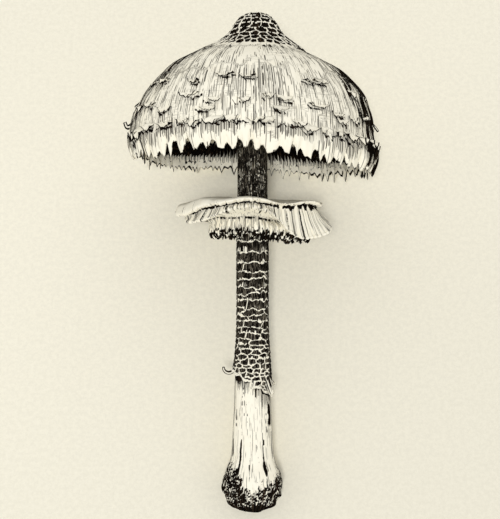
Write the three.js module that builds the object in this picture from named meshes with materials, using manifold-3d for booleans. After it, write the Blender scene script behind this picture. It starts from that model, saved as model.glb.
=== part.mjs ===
// A parasol mushroom as picked, lying on its side: it rests on the brim of its cap and on the bulb of its stem.
// It has four pieces: the shaggy bell-shaped cap, the gills on their collar, the loose double ring round the stem,
// and the stem with its scaly sheath and its bulb.
//
// Lengths are in millimetres and angles in radians. Each piece is made in the mushroom's own frame, in which Z runs
// up the stem from the foot of the bulb, X points to the mushroom's right and -Y to its front. The last section lays
// the mushroom down along +Y with its front upwards, and puts the origin under the middle of its bounding box.

import * as THREE from "three";
import Module from "manifold-3d";

const wasm = await Module();
wasm.setup();

const TURN = 2 * Math.PI;

// ---- Driving dimensions ----

const CAP_RADIUS = 61.8; // at the widest, a little above the brim
const BRIM_RADIUS = 61.0; // where the cap lies on the ground
const CAP_TOP = 249.4; // the whole mushroom's height
const BRIM_HEIGHT = 173.8; // mean height of the brim's torn edge
const BRIM_DROP = 3.2; // the brim hangs this much lower on the right, and higher on the left
const BRIM_ARCH = 2.4; // the brim arches up this much at the front and back, and down at the sides
const CAP_SIDES = 84;
const TOOTH_LONG = 2.8; // how far the brim's longest teeth hang down, and its deepest notches reach up

const SCALE_ROWS = [
  { height: 207, count: 14 },
  { height: 197, count: 18 },
  { height: 186.5, count: 20 },
];
const SCALE = { width: 6.5, length: 5.5, lift: 2.0, thickness: 0.9, root: 0.7 };

const GILL_COUNT = 36;
const GILL_THICKNESS = 1.0;
const GILL_GAP = 0.4; // clearance between the gills and the flesh above them
const COLLAR_INNER = 9.4;
const COLLAR_OUTER = 11.4;
const COLLAR_FOOT = 211;

const SOCKET_RADIUS = 8.4; // the hole in the cap's flesh that takes the top of the stem
const SOCKET_FLOOR = 220.6;
const SOCKET_TOP = 224.6;

const STEM_RADIUS = 7.6;
const STEM_TOP = 223.9;
const BULB_RADIUS = 14.9;
const BULB_HEIGHT = 11.5; // height of the bulb's widest part
const HEM_HEIGHT = 64.5; // mean height of the sheath's torn lower hem
const HEM_SLANT = 6; // the hem is this much lower on the right, and higher on the left
const SHEATH_THICKNESS = 0.6;
const STEM_SIDES = 36;

const RING_BORE = 8.3; // the ring is loose on the stem
const RING_SIDES = 72;
const RING_SLANT = 0.05; // fall of the ring from left to right, as a slope
const PLEAT_COUNT = 24;

const PRESS = 0.8; // how far the soft brim and bulb are pressed flat where the mushroom rests on them

// ---- Lying down ----

// The lean of the stem at which the brim and the bulb both reach the ground, and the height of the frame's origin.
const LEAN = Math.atan2(BRIM_RADIUS - BULB_RADIUS, BRIM_HEIGHT + BRIM_ARCH + 3 - BULB_HEIGHT);
const FOOT_HEIGHT = BULB_RADIUS * Math.cos(LEAN) - BULB_HEIGHT * Math.sin(LEAN) - PRESS;
const GROUND_NORMAL = new THREE.Vector3(0, -Math.cos(LEAN), Math.sin(LEAN));

// Moves a point of the mushroom that would lie below the ground up to it, as soft flesh is pressed flat.
function pressed(point) {
  const height = point.dot(GROUND_NORMAL) + FOOT_HEIGHT;
  return height < 0 ? point.addScaledVector(GROUND_NORMAL, -height) : point;
}

// ---- Shared shaping ----

// Evenly spread points along a smooth curve through [radius, height] points.
function smooth(points, count) {
  return new THREE.SplineCurve(points.map(([r, z]) => new THREE.Vector2(r, z))).getPoints(count);
}

const polar = (r, angle, z) => new THREE.Vector3(r * Math.cos(angle), r * Math.sin(angle), z);

// An even-looking but irregular share from 0 to 1 for the n-th of a row of teeth or scales.
const irregular = (n) => 0.5 + 0.5 * Math.sin(n * 12.9898 + Math.sin(n * 4.1414) * 3);

// A closed surface. Each [radius, height] of the profile becomes a ring of points, or one pole where it lies on the
// axis, and a profile without poles closes on itself. place(point, angle, index) says where a ring's point lies.
function turned(profile, sides, place) {
  const positions = [];
  const rings = profile.map((point, index) => {
    const count = point.x === 0 ? 1 : sides;
    return Array.from({ length: count }, (_, j) => {
      positions.push(...place(point, (TURN * j) / sides, index).toArray());
      return positions.length / 3 - 1;
    });
  });
  const closesOnItself = rings.every((ring) => ring.length > 1);
  const bands = closesOnItself ? rings.length : rings.length - 1;
  const faces = [];
  for (let i = 0; i < bands; i++) {
    const here = rings[i];
    const next = rings[(i + 1) % rings.length];
    for (let j = 0; j < sides; j++) {
      const a = here[j % here.length];
      const b = here[(j + 1) % here.length];
      const c = next[(j + 1) % next.length];
      const d = next[j % next.length];
      if (here.length > 1) faces.push(a, b, c);
      if (next.length > 1) faces.push(a, c, d);
    }
  }
  return { positions, faces };
}

// A closed surface as a solid that can be joined.
function solid({ positions, faces }) {
  return new wasm.Manifold(
    new wasm.Mesh({
      numProp: 3,
      vertProperties: new Float32Array(positions),
      triVerts: new Uint32Array(faces),
    }),
  );
}

// A row of four-cornered sections, each joined to the next, with both ends closed.
function strip(sections) {
  const positions = sections.flat().flatMap((v) => v.toArray());
  const faces = [0, 2, 1, 0, 3, 2];
  for (let i = 0; i < sections.length - 1; i++) {
    for (let j = 0; j < 4; j++) {
      const a = 4 * i + j;
      const b = 4 * i + ((j + 1) % 4);
      faces.push(a, b, b + 4, a, b + 4, a + 4);
    }
  }
  const end = 4 * (sections.length - 1);
  faces.push(end, end + 1, end + 2, end, end + 2, end + 3);
  return solid({ positions, faces });
}

function geometryOf(joined) {
  const mesh = joined.getMesh();
  const positions = new Float32Array(mesh.numVert * 3);
  for (let i = 0; i < mesh.numVert; i++) {
    positions.set(mesh.vertProperties.subarray(i * mesh.numProp, i * mesh.numProp + 3), i * 3);
  }
  const geometry = new THREE.BufferGeometry();
  geometry.setAttribute("position", new THREE.BufferAttribute(positions, 3));
  geometry.setIndex(new THREE.BufferAttribute(mesh.triVerts, 1));
  return geometry;
}

// ---- Cap ----

// The cap's outer side from the brim up to the umbo, and its flesh's underside from the socket out to the brim.
const CAP_OUTSIDE = [
  [61.3, BRIM_HEIGHT + 3.2],
  [CAP_RADIUS, BRIM_HEIGHT + 9.2],
  [60.6, BRIM_HEIGHT + 18.7],
  [57.6, BRIM_HEIGHT + 28.2],
  [53.2, BRIM_HEIGHT + 36.2],
  [47.0, BRIM_HEIGHT + 43.5],
  [39.5, CAP_TOP - 26.6],
  [31.0, CAP_TOP - 22.0],
  [23.0, CAP_TOP - 17.8],
  [17.0, CAP_TOP - 13.8],
  [13.3, CAP_TOP - 10.0],
  [10.6, CAP_TOP - 5.6],
  [6.4, CAP_TOP - 1.5],
  [0, CAP_TOP],
];
const CAP_UNDERSIDE = [
  [13.0, SOCKET_FLOOR],
  [22.0, 221.4],
  [32.0, 218.6],
  [41.5, 213.8],
  [49.0, 207.4],
  [54.6, 199.4],
  [58.0, 189.0],
  [59.4, 181.0],
  [59.2, BRIM_HEIGHT + 3.6],
];
const ARCH_TOP = 198; // the brim's arch dies away up to here
const underside = smooth(CAP_UNDERSIDE, 7);
const outside = smooth(CAP_OUTSIDE, 15);

// The cap isn't quite round, its brim waves and arches a little, and it hangs lower on one side. The gills grow
// with it.
function grown(r, angle, z) {
  const reach = r / CAP_RADIUS;
  const swell = 1 + reach ** 2 * (0.01 * Math.sin(3 * angle + 2) + 0.006 * Math.sin(5 * angle + 1.2));
  const wave = 0.7 * reach ** 3 * Math.sin(4 * angle + 1);
  const low = THREE.MathUtils.clamp((ARCH_TOP - z) / (ARCH_TOP - BRIM_HEIGHT), 0, 1.1);
  const arch = -BRIM_ARCH * low ** 2 * Math.cos(2 * angle);
  return polar(r * swell, angle, z - BRIM_DROP * reach ** 2 * Math.cos(angle) + wave + arch);
}

// How far the torn brim hangs down at an angle: every other point of its edge is the tip of a tooth.
function tooth(angle) {
  const n = Math.round((angle / TURN) * CAP_SIDES);
  return TOOTH_LONG * (0.3 + 0.7 * irregular(n)) * (n % 2 ? 1 : -0.8);
}

// One scale of torn skin, rooted in the cap on its upper side and curling away from it at its lower edge.
function capScale(row, n) {
  const angle = (TURN * (n + 0.45 * irregular(n * 7 + row.count))) / row.count + row.height;
  const upper = outside.findIndex((point) => point.y > row.height);
  const [before, after] = [outside[upper - 1], outside[upper]];
  const share = (row.height - before.y) / (after.y - before.y);
  const root = grown(THREE.MathUtils.lerp(before.x, after.x, share), angle, row.height);
  const down = grown(before.x, angle, before.y).sub(root).normalize();
  const side = new THREE.Vector3(-Math.sin(angle), Math.cos(angle), 0);
  const out = new THREE.Vector3().crossVectors(side, down).negate().normalize();
  if (out.dot(GROUND_NORMAL) < -0.75) return null; // the side that the cap lies on stays clear
  const width = SCALE.width * (0.75 + 0.5 * irregular(n));
  const section = (along) => {
    const lift = SCALE.lift * along ** 2 - SCALE.root * (1 - along);
    const middle = root.clone().addScaledVector(down, SCALE.length * along).addScaledVector(out, lift);
    const half = (width / 2) * (1 - 0.35 * along);
    const corner = (s, o) => middle.clone().addScaledVector(side, s * half).addScaledVector(out, o);
    return [corner(-1, 0), corner(-1, -SCALE.thickness), corner(1, -SCALE.thickness), corner(1, 0)];
  };
  return strip([0, 0.55, 1].map(section));
}

function capSolid() {
  const edge = [new THREE.Vector2(58.9, BRIM_HEIGHT + 0.4), new THREE.Vector2(60.3, BRIM_HEIGHT)];
  const socket = [
    new THREE.Vector2(0, SOCKET_TOP),
    new THREE.Vector2(SOCKET_RADIUS, SOCKET_TOP),
    new THREE.Vector2(SOCKET_RADIUS, SOCKET_FLOOR),
  ];
  const profile = [...socket, ...underside, ...edge, ...outside];
  const hangsFrom = BRIM_HEIGHT + 5;
  const place = (point, angle) => {
    const share = THREE.MathUtils.clamp((hangsFrom - point.y) / (hangsFrom - BRIM_HEIGHT), 0, 1);
    return pressed(grown(point.x, angle, point.y - share * tooth(angle)));
  };
  let cap = solid(turned(profile, CAP_SIDES, place));
  for (const row of SCALE_ROWS) {
    for (let n = 0; n < row.count; n++) {
      const scale = capScale(row, n);
      if (scale) cap = cap.add(scale);
    }
  }
  return cap;
}

// ---- Gills ----

// The free lower edge of a gill, from the brim in to the collar.
const GILL_EDGE = [
  [57.0, 180.5],
  [50.5, 184.5],
  [42.0, 190.0],
  [32.0, 196.5],
  [22.0, 202.5],
  [14.5, 208.0],
  [COLLAR_INNER + 1, COLLAR_FOOT + 1.5],
];

// One gill: a thin upright blade between its free edge and the flesh, which it stays just clear of.
function gill(angle) {
  const top = underside.map((point, i) => {
    const before = underside[Math.max(i - 1, 0)];
    const after = underside[Math.min(i + 1, underside.length - 1)];
    const along = after.clone().sub(before).normalize();
    return new THREE.Vector2(point.x + along.y * GILL_GAP, point.y - along.x * GILL_GAP);
  });
  const root = new THREE.Vector2(COLLAR_INNER + 1, SOCKET_FLOOR - GILL_GAP);
  const outline = [root, ...top.slice(0, -1), ...smooth(GILL_EDGE, 5)];
  const blade = new THREE.ExtrudeGeometry(new THREE.Shape(outline), {
    depth: GILL_THICKNESS,
    bevelEnabled: false,
  });
  const across = blade.attributes.position;
  const merged = new Map();
  const positions = [];
  const faces = [];
  for (let i = 0; i < across.count; i++) {
    const [x, y, t] = [across.getX(i), across.getY(i), across.getZ(i) - GILL_THICKNESS / 2];
    const key = [x, y, t].map((value) => value.toFixed(4)).join();
    if (!merged.has(key)) {
      merged.set(key, merged.size);
      positions.push(...grown(Math.hypot(x, t), angle + Math.atan2(-t, x), y).toArray());
    }
    faces.push(merged.get(key));
  }
  return solid({ positions, faces });
}

function gillsSolid() {
  const collar = [
    new THREE.Vector2(COLLAR_INNER, COLLAR_FOOT),
    new THREE.Vector2(COLLAR_OUTER, COLLAR_FOOT),
    new THREE.Vector2(COLLAR_OUTER, SOCKET_FLOOR - GILL_GAP),
    new THREE.Vector2(COLLAR_INNER, SOCKET_FLOOR - GILL_GAP),
  ];
  let gills = solid(turned(collar, GILL_COUNT, (point, angle) => grown(point.x, angle, point.y)));
  for (let n = 0; n < GILL_COUNT; n++) gills = gills.add(gill((TURN * (n + 0.5)) / GILL_COUNT));
  return gills;
}

// ---- Ring ----

// The ring's section, from the bore round by the pleated frill, the fluted fan, the groove above it and the lip. The
// last three numbers say how much a point belongs to the frill, to the fan, and to the lip's edge.
const RING_SECTION = [
  [RING_BORE, 142.6, 0, 0, 0],
  [16.0, 144.4, 0, 0, 0],
  [21.4, 141.6, 1, 0, 0],
  [23.8, 137.4, 1, 0, 0],
  [25.8, 137.6, 1, 0, 0],
  [25.8, 142.0, 1, 0, 0],
  [24.2, 145.3, 0, 0, 0],
  [28.6, 147.3, 0, 0.3, 0.3],
  [33.8, 148.9, 0, 1, 0.7],
  [34.0, 150.3, 0, 1, 0.7],
  [32.4, 151.3, 0, 0, 0.7],
  [34.4, 151.8, 0, 0, 1],
  [35.9, 152.6, 0, 0, 1],
  [35.0, 154.2, 0, 0, 0.1],
  [27.0, 155.6, 0, 0, 0],
  [16.0, 156.8, 0, 0, 0],
  [RING_BORE, 156.4, 0, 0, 0],
];
const PLATE_ROOT = 12; // the ring is even up to this radius, and waves and reaches out in lobes beyond it
const PLATE_REACH = 24.6;
const FRILL_SHIFT = 2.2; // the frill stands further out on the right
const FAN_REACH = 5.5;
const FAN_DROP = 12.6;
const LIP_HANG = 5; // the lip's edge hangs down on the left
const LIP_THIN = 1.2; // and is this much thinner on the right

const angleFrom = (angle, centre) => Math.atan2(Math.sin(angle - centre), Math.cos(angle - centre));

// A smooth hump of height 1 round an angle, with a width of its own before and after it.
function hump(angle, centre, before, after = before) {
  const away = angleFrom(angle, centre);
  return Math.exp(-((away / (away < 0 ? before : after)) ** 2));
}

// The fan folds down broadly at the right and front, and a little at the left.
const fanAt = (angle) => hump(angle, -0.62, 0.3, 0.62) + 0.3 * hump(angle, -2.3, 0.5, 0.28);

function ringPoint(angle, [radius, height, frill, fan, lip]) {
  const reach = Math.max(radius - PLATE_ROOT, 0) / PLATE_REACH;
  const lobes = 0.04 * Math.sin(5 * angle + 3.8) + 0.03 * Math.sin(8 * angle + 0.6) - 0.07 * Math.cos(angle);
  const hang = LIP_HANG * hump(angle, -2.65, 0.55) - LIP_THIN * hump(angle, -0.8, 0.6);
  const pleats = FRILL_SHIFT * Math.cos(angle) + 0.7 * Math.cos(PLEAT_COUNT * angle);
  const plate = PLATE_REACH * reach * lobes + FAN_REACH * fan * fanAt(angle) + 0.25 * hang * lip;
  const r = radius + (frill ? pleats : plate);
  const wave = (frill ? 0.3 : 1) * reach * (1.1 * Math.sin(3 * angle + 1.3) + 0.7 * Math.sin(7 * angle));
  const fall = FAN_DROP * fan * fanAt(angle) + hang * lip;
  return polar(r, angle, height + wave - fall - (frill ? 1 : 0.35) * RING_SLANT * r * Math.cos(angle));
}

function ringSolid() {
  const section = RING_SECTION.map(([r, z]) => new THREE.Vector2(r, z));
  return solid(turned(section, RING_SIDES, (point, angle, index) => ringPoint(angle, RING_SECTION[index])));
}

// ---- Stem ----

const STEM_BELOW_HEM = [
  [0, 0.2],
  [6.0, 0.9],
  [10.4, 3.2],
  [13.4, 6.8],
  [BULB_RADIUS, BULB_HEIGHT],
  [14.6, 15.8],
  [13.2, 20.6],
  [11.2, 25.4],
  [10.3, 31.5],
  [9.8, 41.0],
  [9.2, 53.0],
];
const STEM_ABOVE_HEM = [
  [9.2, HEM_HEIGHT + 4],
  [8.7, HEM_HEIGHT + 11],
  [8.1, HEM_HEIGHT + 19],
  [STEM_RADIUS + 0.1, HEM_HEIGHT + 30],
  [STEM_RADIUS, HEM_HEIGHT + 60],
  [STEM_RADIUS - 0.1, 200],
  [STEM_RADIUS, STEM_TOP - 0.4],
];
const BULB_LUMPS = 0.35;

function stemSolid() {
  const onAxis = (z) => new THREE.Vector2(0, z);
  const below = smooth(STEM_BELOW_HEM, 12);
  const hem = [
    new THREE.Vector2(9.0, HEM_HEIGHT),
    new THREE.Vector2(9.0 + SHEATH_THICKNESS, HEM_HEIGHT + 0.4),
  ];
  const profile = [...below, ...hem, ...smooth(STEM_ABOVE_HEM, 7), onAxis(STEM_TOP)];
  const place = (point, angle) => {
    const lumpy = THREE.MathUtils.clamp((BULB_HEIGHT + 12 - point.y) / 12, 0, 1);
    const lump = BULB_LUMPS * lumpy * (Math.sin(5 * angle + point.y) + Math.sin(3 * angle - 0.6 * point.y));
    const nearHem = Math.exp(-(((point.y - HEM_HEIGHT) / 7) ** 2));
    const torn = -HEM_SLANT * Math.cos(angle) + 1.2 * Math.sin(7 * angle + 1);
    const r = point.x === 0 ? 0 : point.x + lump;
    return pressed(polar(r, angle, point.y + nearHem * torn));
  };
  return solid(turned(profile, STEM_SIDES, place));
}

// ---- Assembly ----

// What each piece is finished in.
const FINISHES = {
  cap: { color: 0xe6dec5, roughness: 0.85 },
  gills: { color: 0xcfc4a8, roughness: 0.8 },
  ring: { color: 0xeae3cc, roughness: 0.85 },
  stem: { color: 0x554a40, roughness: 0.8 },
};

function piece(name, joined) {
  const material = new THREE.MeshStandardMaterial({ ...FINISHES[name], metalness: 0 });
  const mesh = new THREE.Mesh(geometryOf(joined), material);
  mesh.name = name;
  return mesh;
}

const mushroom = new THREE.Group();
mushroom.rotation.x = LEAN - Math.PI / 2;
mushroom.add(
  piece("cap", capSolid()),
  piece("gills", gillsSolid()),
  piece("ring", ringSolid()),
  piece("stem", stemSolid()),
);

// The group is moved so that the origin lies on the ground, under the middle of the bounding box.
const lying = new THREE.Group();
lying.add(mushroom);
lying.updateMatrixWorld(true);
const middle = new THREE.Box3().setFromObject(lying, true).getCenter(new THREE.Vector3());
mushroom.position.set(-middle.x, -middle.y, FOOT_HEIGHT);

export default lying;
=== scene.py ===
"""A parasol mushroom as picked, lying on its side on a pale floor and seen from above.

Shapes are worked out in millimetres in the mushroom's own frame: Z runs up the stem from the foot of the
bulb, X points to its right and -Y to its front. placed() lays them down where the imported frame's pieces lie,
in metres.
"""

import math

import bpy
import numpy as np
from mathutils import Matrix, Vector


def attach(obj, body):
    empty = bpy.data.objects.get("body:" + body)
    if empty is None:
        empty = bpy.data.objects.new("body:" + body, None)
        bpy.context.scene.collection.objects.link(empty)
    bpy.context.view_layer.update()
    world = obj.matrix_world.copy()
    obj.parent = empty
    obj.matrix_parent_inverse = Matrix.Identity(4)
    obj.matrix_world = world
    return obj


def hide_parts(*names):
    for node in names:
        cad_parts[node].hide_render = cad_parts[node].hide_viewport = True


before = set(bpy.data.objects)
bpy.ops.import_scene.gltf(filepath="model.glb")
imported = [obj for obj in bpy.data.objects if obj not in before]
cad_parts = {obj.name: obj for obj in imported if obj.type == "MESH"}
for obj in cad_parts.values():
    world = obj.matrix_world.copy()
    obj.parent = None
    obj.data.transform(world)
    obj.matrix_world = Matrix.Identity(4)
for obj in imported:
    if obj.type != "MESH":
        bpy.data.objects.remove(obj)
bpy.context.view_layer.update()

TURN = 2 * math.pi
FRONT = -math.pi / 2

# ---- Driving dimensions, shared with the frame's solids ----

CAP_RADIUS = 61.8
BRIM_RADIUS = 61.0
CAP_TOP = 249.4
BRIM_HEIGHT = 173.8
BRIM_DROP = 3.2
BRIM_ARCH = 2.4
ARCH_TOP = 198
STEM_TOP = 223.9
STEM_RADIUS = 7.6
BULB_RADIUS = 14.9
BULB_HEIGHT = 11.5
HEM_HEIGHT = 64.5
HEM_SLANT = 6
RING_BORE = 8.3
RING_SLANT = 0.05
FRILL_SHIFT = 2.2
PRESS = 0.8
LEAN = math.atan2(BRIM_RADIUS - BULB_RADIUS, BRIM_HEIGHT + BRIM_ARCH + 3 - BULB_HEIGHT)
FOOT_HEIGHT = BULB_RADIUS * math.cos(LEAN) - BULB_HEIGHT * math.sin(LEAN) - PRESS

# ---- The view, in millimetres ----

VIEW_HEIGHT = 125.75  # the height on the stem at the middle of the view
VIEW_SIDE = -1.25  # the middle of the view lies this far right of the axis
VIEW_DISTANCE = 500
VIEW_SPAN = 259.5  # the picture shows this much of the mushroom's height

# ---- Placing ----


def foot_of_axis():
    """Where the stem's axis starts on the plan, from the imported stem's top, which is a point on the axis."""
    corners = np.array([v.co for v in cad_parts["stem"].data.vertices]) * 1000
    heights = corners @ (0, math.cos(LEAN), math.sin(LEAN))
    top = corners[heights.argmax()]
    return top[0], top[1] - STEM_TOP * math.cos(LEAN)


FOOT_X, FOOT_Y = foot_of_axis()


def placed(points):
    """Points of the mushroom's own frame, in millimetres, as they lie on the floor, in metres."""
    x, y, z = np.moveaxis(np.asarray(points, float), -1, 0)
    across = x + FOOT_X
    along = y * math.sin(LEAN) + z * math.cos(LEAN) + FOOT_Y
    above = -y * math.cos(LEAN) + z * math.sin(LEAN) + FOOT_HEIGHT
    return np.stack([across, along, np.maximum(above, 0)], -1) / 1000


# ---- Shared shaping ----


def smooth(points, count):
    """Evenly spread points along a smooth curve through the points."""
    points = np.asarray(points, float)
    last = len(points) - 1
    at = np.linspace(0, last, count + 1)
    i = np.minimum(at.astype(int), last - 1)
    t = (at - i)[:, None]
    before, here = points[np.maximum(i - 1, 0)], points[i]
    there, after = points[i + 1], points[np.minimum(i + 2, last)]
    leave, arrive = (there - before) / 2, (after - here) / 2
    cubic = 2 * here - 2 * there + leave + arrive
    square = -3 * here + 3 * there - 2 * leave - arrive
    return cubic * t**3 + square * t**2 + leave * t + here


def lengths(curve):
    """The distance along a curve to each of its points."""
    steps = np.linalg.norm(np.diff(curve, axis=0), axis=1)
    return np.concatenate([[0], np.cumsum(steps)])


def walk(curve, distances):
    """The radii and the heights of a curve at distances along it."""
    at = lengths(curve)
    return [np.interp(distances, at, part) for part in curve.T]


def turned_grid(columns, *rows):
    """A grid of each list of values down a turned surface, all the way round, and the grid's angles."""
    grids = [np.repeat(row[:, None], columns, 1) for row in rows]
    return *grids, np.tile(np.arange(columns) * TURN / columns, (len(rows[0]), 1))


def sides_of_sheet(outer, inner):
    """The rows of a closed surface's outer and inner side as one, and 1 where they are outer or else 0."""
    both = [np.concatenate(parts) for parts in zip(outer, inner)]
    return *both, np.repeat([1.0, 0.0], [len(outer[0]), len(inner[0])])


def clamp(values, low=0.0, high=1.0):
    return np.clip(values, low, high)


def ease(values):
    """0 below 0, 1 above 1, and smooth between."""
    t = clamp(values)
    return t * t * (3 - 2 * t)


def angle_between(a, b):
    """The signed angle from b to a, from half a turn back to half a turn on."""
    return np.arctan2(np.sin(a - b), np.cos(a - b))


def bell(away, width=1.0):
    """A smooth hump of height 1 where away is 0."""
    return np.exp(-((away / width) ** 2))


def hump(angle, centre, before, after=None):
    """A bell round an angle, with a width of its own before and after it."""
    away = angle_between(angle, centre)
    return bell(away, np.where(away < 0, before, after or before))


def most(first, *others):
    """The largest of several values at each point."""
    for other in others:
        first = np.maximum(first, other)
    return first


def polar(r, angle, z):
    """Points from radii, angles and heights."""
    r, angle, z = np.broadcast_arrays(r, angle, z)
    return np.stack([r * np.cos(angle), r * np.sin(angle), z], -1)


def noise(points, seed=0):
    """Smooth noise from -1 to 1, with about one lump for each unit of space."""
    cell = np.floor(points).astype(np.int64)
    part = points - cell
    part = part * part * (3 - 2 * part)
    total = np.zeros(points.shape[:-1])
    for corner in np.ndindex(2, 2, 2):
        x, y, z = np.moveaxis(cell + corner, -1, 0)
        code = (x * 73856093) ^ (y * 19349663) ^ (z * 83492791) ^ (seed * 26544357)
        code = ((code ^ (code >> 13)) * 1274126177) & 0xFFFFFFFF
        value = ((code ^ (code >> 16)) & 0xFFFF) / 32767.5 - 1
        total += value * np.where(corner, part, 1 - part).prod(-1)
    return total


def rough(points, seed=0, octaves=3):
    """Noise with finer and finer lumps on it."""
    total = np.zeros(points.shape[:-1])
    for n in range(octaves):
        total += noise(points * 2**n, seed + n) / 2**n
    return total


def plate_shares(angle, along, radius, plates):
    """For each point, how far in millimetres it is from the crack that parts its plate from the next one,
    how far off its plate's middle is, in plates' sizes, and which plate it is. A plate has its angle, its
    place along, its width and its height."""
    nothing = np.zeros(angle.shape)
    first, second = (9 + nothing, nothing, nothing), (9 + nothing, nothing, nothing)
    nearest = np.zeros(angle.shape, int)
    for n, (turned, middle, width, height) in enumerate(plates):
        aside = angle_between(angle, turned) * radius / width
        above = (along - middle) / height
        apart = np.maximum(np.hypot(aside, above), 1e-6)
        this = (apart, aside / apart / width, above / apart / height)
        closer, next_closest = apart < first[0], apart < second[0]
        second = [np.where(closer, f, np.where(next_closest, t, s)) for f, s, t in zip(first, second, this)]
        first = [np.where(closer, t, f) for f, t in zip(first, this)]
        nearest = np.where(closer, n, nearest)
    steepness = np.hypot(second[1] - first[1], second[2] - first[2])
    return (second[0] - first[0]) / np.maximum(steepness, 1e-3), first[0], nearest


def normals_of(points):
    """The outward directions of a grid of points that closes on itself along its second axis."""
    along = np.gradient(points, axis=0)
    around = np.roll(points, -1, 1) - np.roll(points, 1, 1)
    across = np.cross(around, along)
    return across / np.maximum(np.linalg.norm(across, axis=-1, keepdims=True), 1e-9)


# ---- Meshes ----


def linked(name, data):
    """A new object that shows the data in the scene."""
    holder = bpy.data.objects.new(name, data)
    bpy.context.scene.collection.objects.link(holder)
    return holder


def mesh_piece(name, vertices, faces, looks, material, nodes=()):
    """A mesh object from placed vertices, that rides on the mushroom and stands for the nodes. Its looks say
    for each vertex how dark it is, how streaky, and where it is in the grain."""
    mesh = bpy.data.meshes.new(name)
    mesh.from_pydata(vertices.tolist(), [], faces)
    for label, values in zip(("dark", "streak", "grain"), looks):
        kind, field = ("FLOAT_VECTOR", "vector") if values.ndim == 2 else ("FLOAT", "value")
        layer = mesh.attributes.new(label, kind, "POINT")
        layer.data.foreach_set(field, values.astype(np.float32).ravel())
    mesh.polygons.foreach_set("use_smooth", [True] * len(mesh.polygons))
    mesh.materials.append(material)
    mesh.update()
    piece = linked(name, mesh)
    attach(piece, "root")
    if nodes:
        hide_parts(*nodes)
    return piece


def grid_faces(rows, columns, start=0, turn=True, close_rows=False):
    """Four-sided faces over a grid, which closes on itself along the columns if turn is set."""
    index = start + np.arange(rows * columns).reshape(rows, columns)
    if turn:
        index = np.concatenate([index, index[:, :1]], 1)
    if close_rows:
        index = np.concatenate([index, index[:1]], 0)
    corners = [index[:-1, :-1], index[:-1, 1:], index[1:, 1:], index[1:, :-1]]
    return np.stack([c.ravel() for c in corners], -1).tolist()


def turned_piece(name, points, looks, material, nodes=(), poles=True):
    """A closed surface from rings of points. With poles, the first and last ring close on their middles."""
    rows, columns = points.shape[:2]
    vertices = placed(points).reshape(-1, 3)
    flat = [values.reshape((-1,) + values.shape[2:]) for values in looks]
    faces = grid_faces(rows, columns, close_rows=not poles)
    if poles:
        around = np.arange(columns)
        on = (around + 1) % columns
        for ring, turned_over in ((0, True), (rows - 1, False)):
            middle = len(vertices)
            part = slice(ring * columns, (ring + 1) * columns)
            vertices = np.concatenate([vertices, vertices[part].mean(0, keepdims=True)])
            flat = [np.concatenate([v, v[part].mean(0, keepdims=True)]) for v in flat]
            first, second = (on, around) if turned_over else (around, on)
            fan = np.stack([ring * columns + first, ring * columns + second, np.full(columns, middle)], -1)
            faces += fan.tolist()
    return mesh_piece(name, vertices, faces, flat, material, nodes)


class Patches:
    """Small closed sheets, such as scales and blades, gathered into one mesh."""

    def __init__(self):
        self.vertices, self.faces, self.looks, self.count = [], [], ([], [], []), 0

    def add(self, outer, inner, *looks):
        """A sheet between two grids of points. Each of its looks has one grid of values for both or, in a
        tuple, one for each."""
        rows, columns = outer.shape[:2]
        size = rows * columns
        self.faces += grid_faces(rows, columns, self.count, turn=False)
        self.faces += [f[::-1] for f in grid_faces(rows, columns, self.count + size, turn=False)]
        index = self.count + np.arange(size).reshape(rows, columns)
        rim = np.concatenate([index[0, :-1], index[:-1, -1], index[-1, :0:-1], index[:0:-1, 0]])
        on = np.roll(rim, -1)
        self.faces += np.stack([on, rim, rim + size, on + size], -1).tolist()
        self.vertices.append(placed(np.stack([outer, inner])).reshape(-1, 3))
        for values, kept in zip(looks, self.looks):
            both = np.stack(values if isinstance(values, tuple) else (values, values))
            kept.append(both.reshape((-1,) + both.shape[3:]))
        self.count += 2 * size

    def piece(self, name, material, slot, nodes=()):
        flat = [np.concatenate(parts) for parts in self.looks]
        return mesh_piece(name, np.concatenate(self.vertices), self.faces, flat, material, nodes)


# ---- Materials ----

CREAM = (0.93, 0.885, 0.745)
UMBER = (0.005, 0.004, 0.003)
RUST = (0.11, 0.07, 0.04)
NOISE_ROUGHNESS = 0.8


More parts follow.
